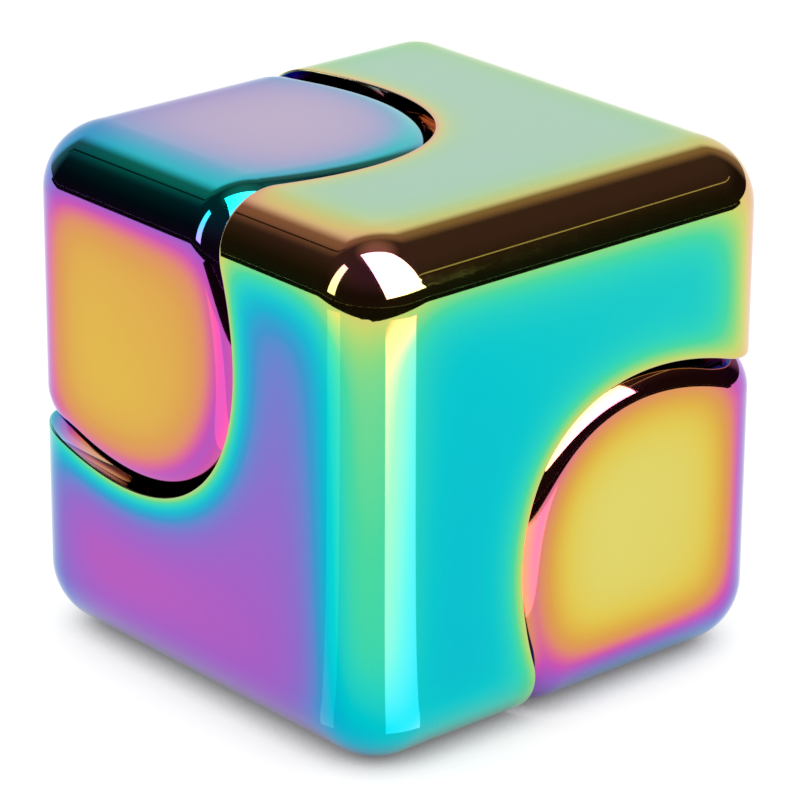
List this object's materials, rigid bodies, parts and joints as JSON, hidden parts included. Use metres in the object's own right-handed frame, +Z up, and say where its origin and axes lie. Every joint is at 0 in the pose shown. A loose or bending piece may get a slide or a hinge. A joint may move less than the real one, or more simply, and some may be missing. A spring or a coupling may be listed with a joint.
{
  "type": "spinning fidget cube",
  "caption": "Spinning fidget cube in rainbow-plated metal: a middle body with opposite corner caps that turn together about the diagonal on ball bearings.",
  "frame": {"origin": "middle of the bottom face that the cube stands on, at floor level", "axes": "+Z up; +X and +Y square to the cube's side faces; the spin axis runs from the lower cap's corner at +X -Y to the upper cap's corner at -X +Y"},
  "size_m": [0.03, 0.03, 0.03],
  "materials": {
    "rainbow_plated_middle": "mirror-polished rainbow ion plating on zinc alloy",
    "rainbow_plated_upper": "mirror-polished rainbow ion plating on zinc alloy, thinner film on this piece",
    "rainbow_plated_lower": "mirror-polished rainbow ion plating on zinc alloy, thinner film on this piece",
    "axle_steel": "ground",
    "washer_steel": "turned",
    "bearing_steel": "ground and lapped",
    "shield_steel": "pressed sheet",
    "retainer_brass": "satin",
    "ball_steel": "mirror polished"
  },
  "bodies": {
    "body": {"middle_body": "rainbow_plated_middle", "upper_bearing_outer_ring": "bearing_steel", "upper_bearing_front_shield": "shield_steel", "upper_bearing_back_shield": "shield_steel", "lower_bearing_outer_ring": "bearing_steel", "lower_bearing_front_shield": "shield_steel", "lower_bearing_back_shield": "shield_steel"},
    "rotor": {"upper_corner_cap": "rainbow_plated_upper", "lower_corner_cap": "rainbow_plated_lower", "axle_pin": "axle_steel", "upper_washer": "washer_steel", "lower_washer": "washer_steel", "bearing_spacer": "washer_steel", "upper_bearing_inner_ring": "bearing_steel", "lower_bearing_inner_ring": "bearing_steel"},
    "upper_ball_set": {"upper_bearing_retainer": "retainer_brass", "upper_bearing_ball_1": "ball_steel", "upper_bearing_ball_2": "ball_steel", "upper_bearing_ball_3": "ball_steel", "upper_bearing_ball_4": "ball_steel", "upper_bearing_ball_5": "ball_steel", "upper_bearing_ball_6": "ball_steel", "upper_bearing_ball_7": "ball_steel"},
    "lower_ball_set": {"lower_bearing_retainer": "retainer_brass", "lower_bearing_ball_1": "ball_steel", "lower_bearing_ball_2": "ball_steel", "lower_bearing_ball_3": "ball_steel", "lower_bearing_ball_4": "ball_steel", "lower_bearing_ball_5": "ball_steel", "lower_bearing_ball_6": "ball_steel", "lower_bearing_ball_7": "ball_steel"}
  },
  "joints": [
    {"name": "cap_spin", "type": "hinge", "parent": "body", "child": "rotor", "pos_m": [0, 0, 0.015], "axis": [-0.5774, 0.5774, 0.5774], "continuous": true},
    {"name": "upper_ball_turn", "type": "hinge", "parent": "body", "child": "upper_ball_set", "pos_m": [0, 0, 0.015], "axis": [-0.5774, 0.5774, 0.5774], "continuous": true},
    {"name": "lower_ball_turn", "type": "hinge", "parent": "body", "child": "lower_ball_set", "pos_m": [0, 0, 0.015], "axis": [-0.5774, 0.5774, 0.5774], "continuous": true}
  ],
  "couplings": [
    {"joint": "upper_ball_turn", "follows": "cap_spin", "ratio": 0.39474},
    {"joint": "lower_ball_turn", "follows": "cap_spin", "ratio": 0.39474}
  ]
}
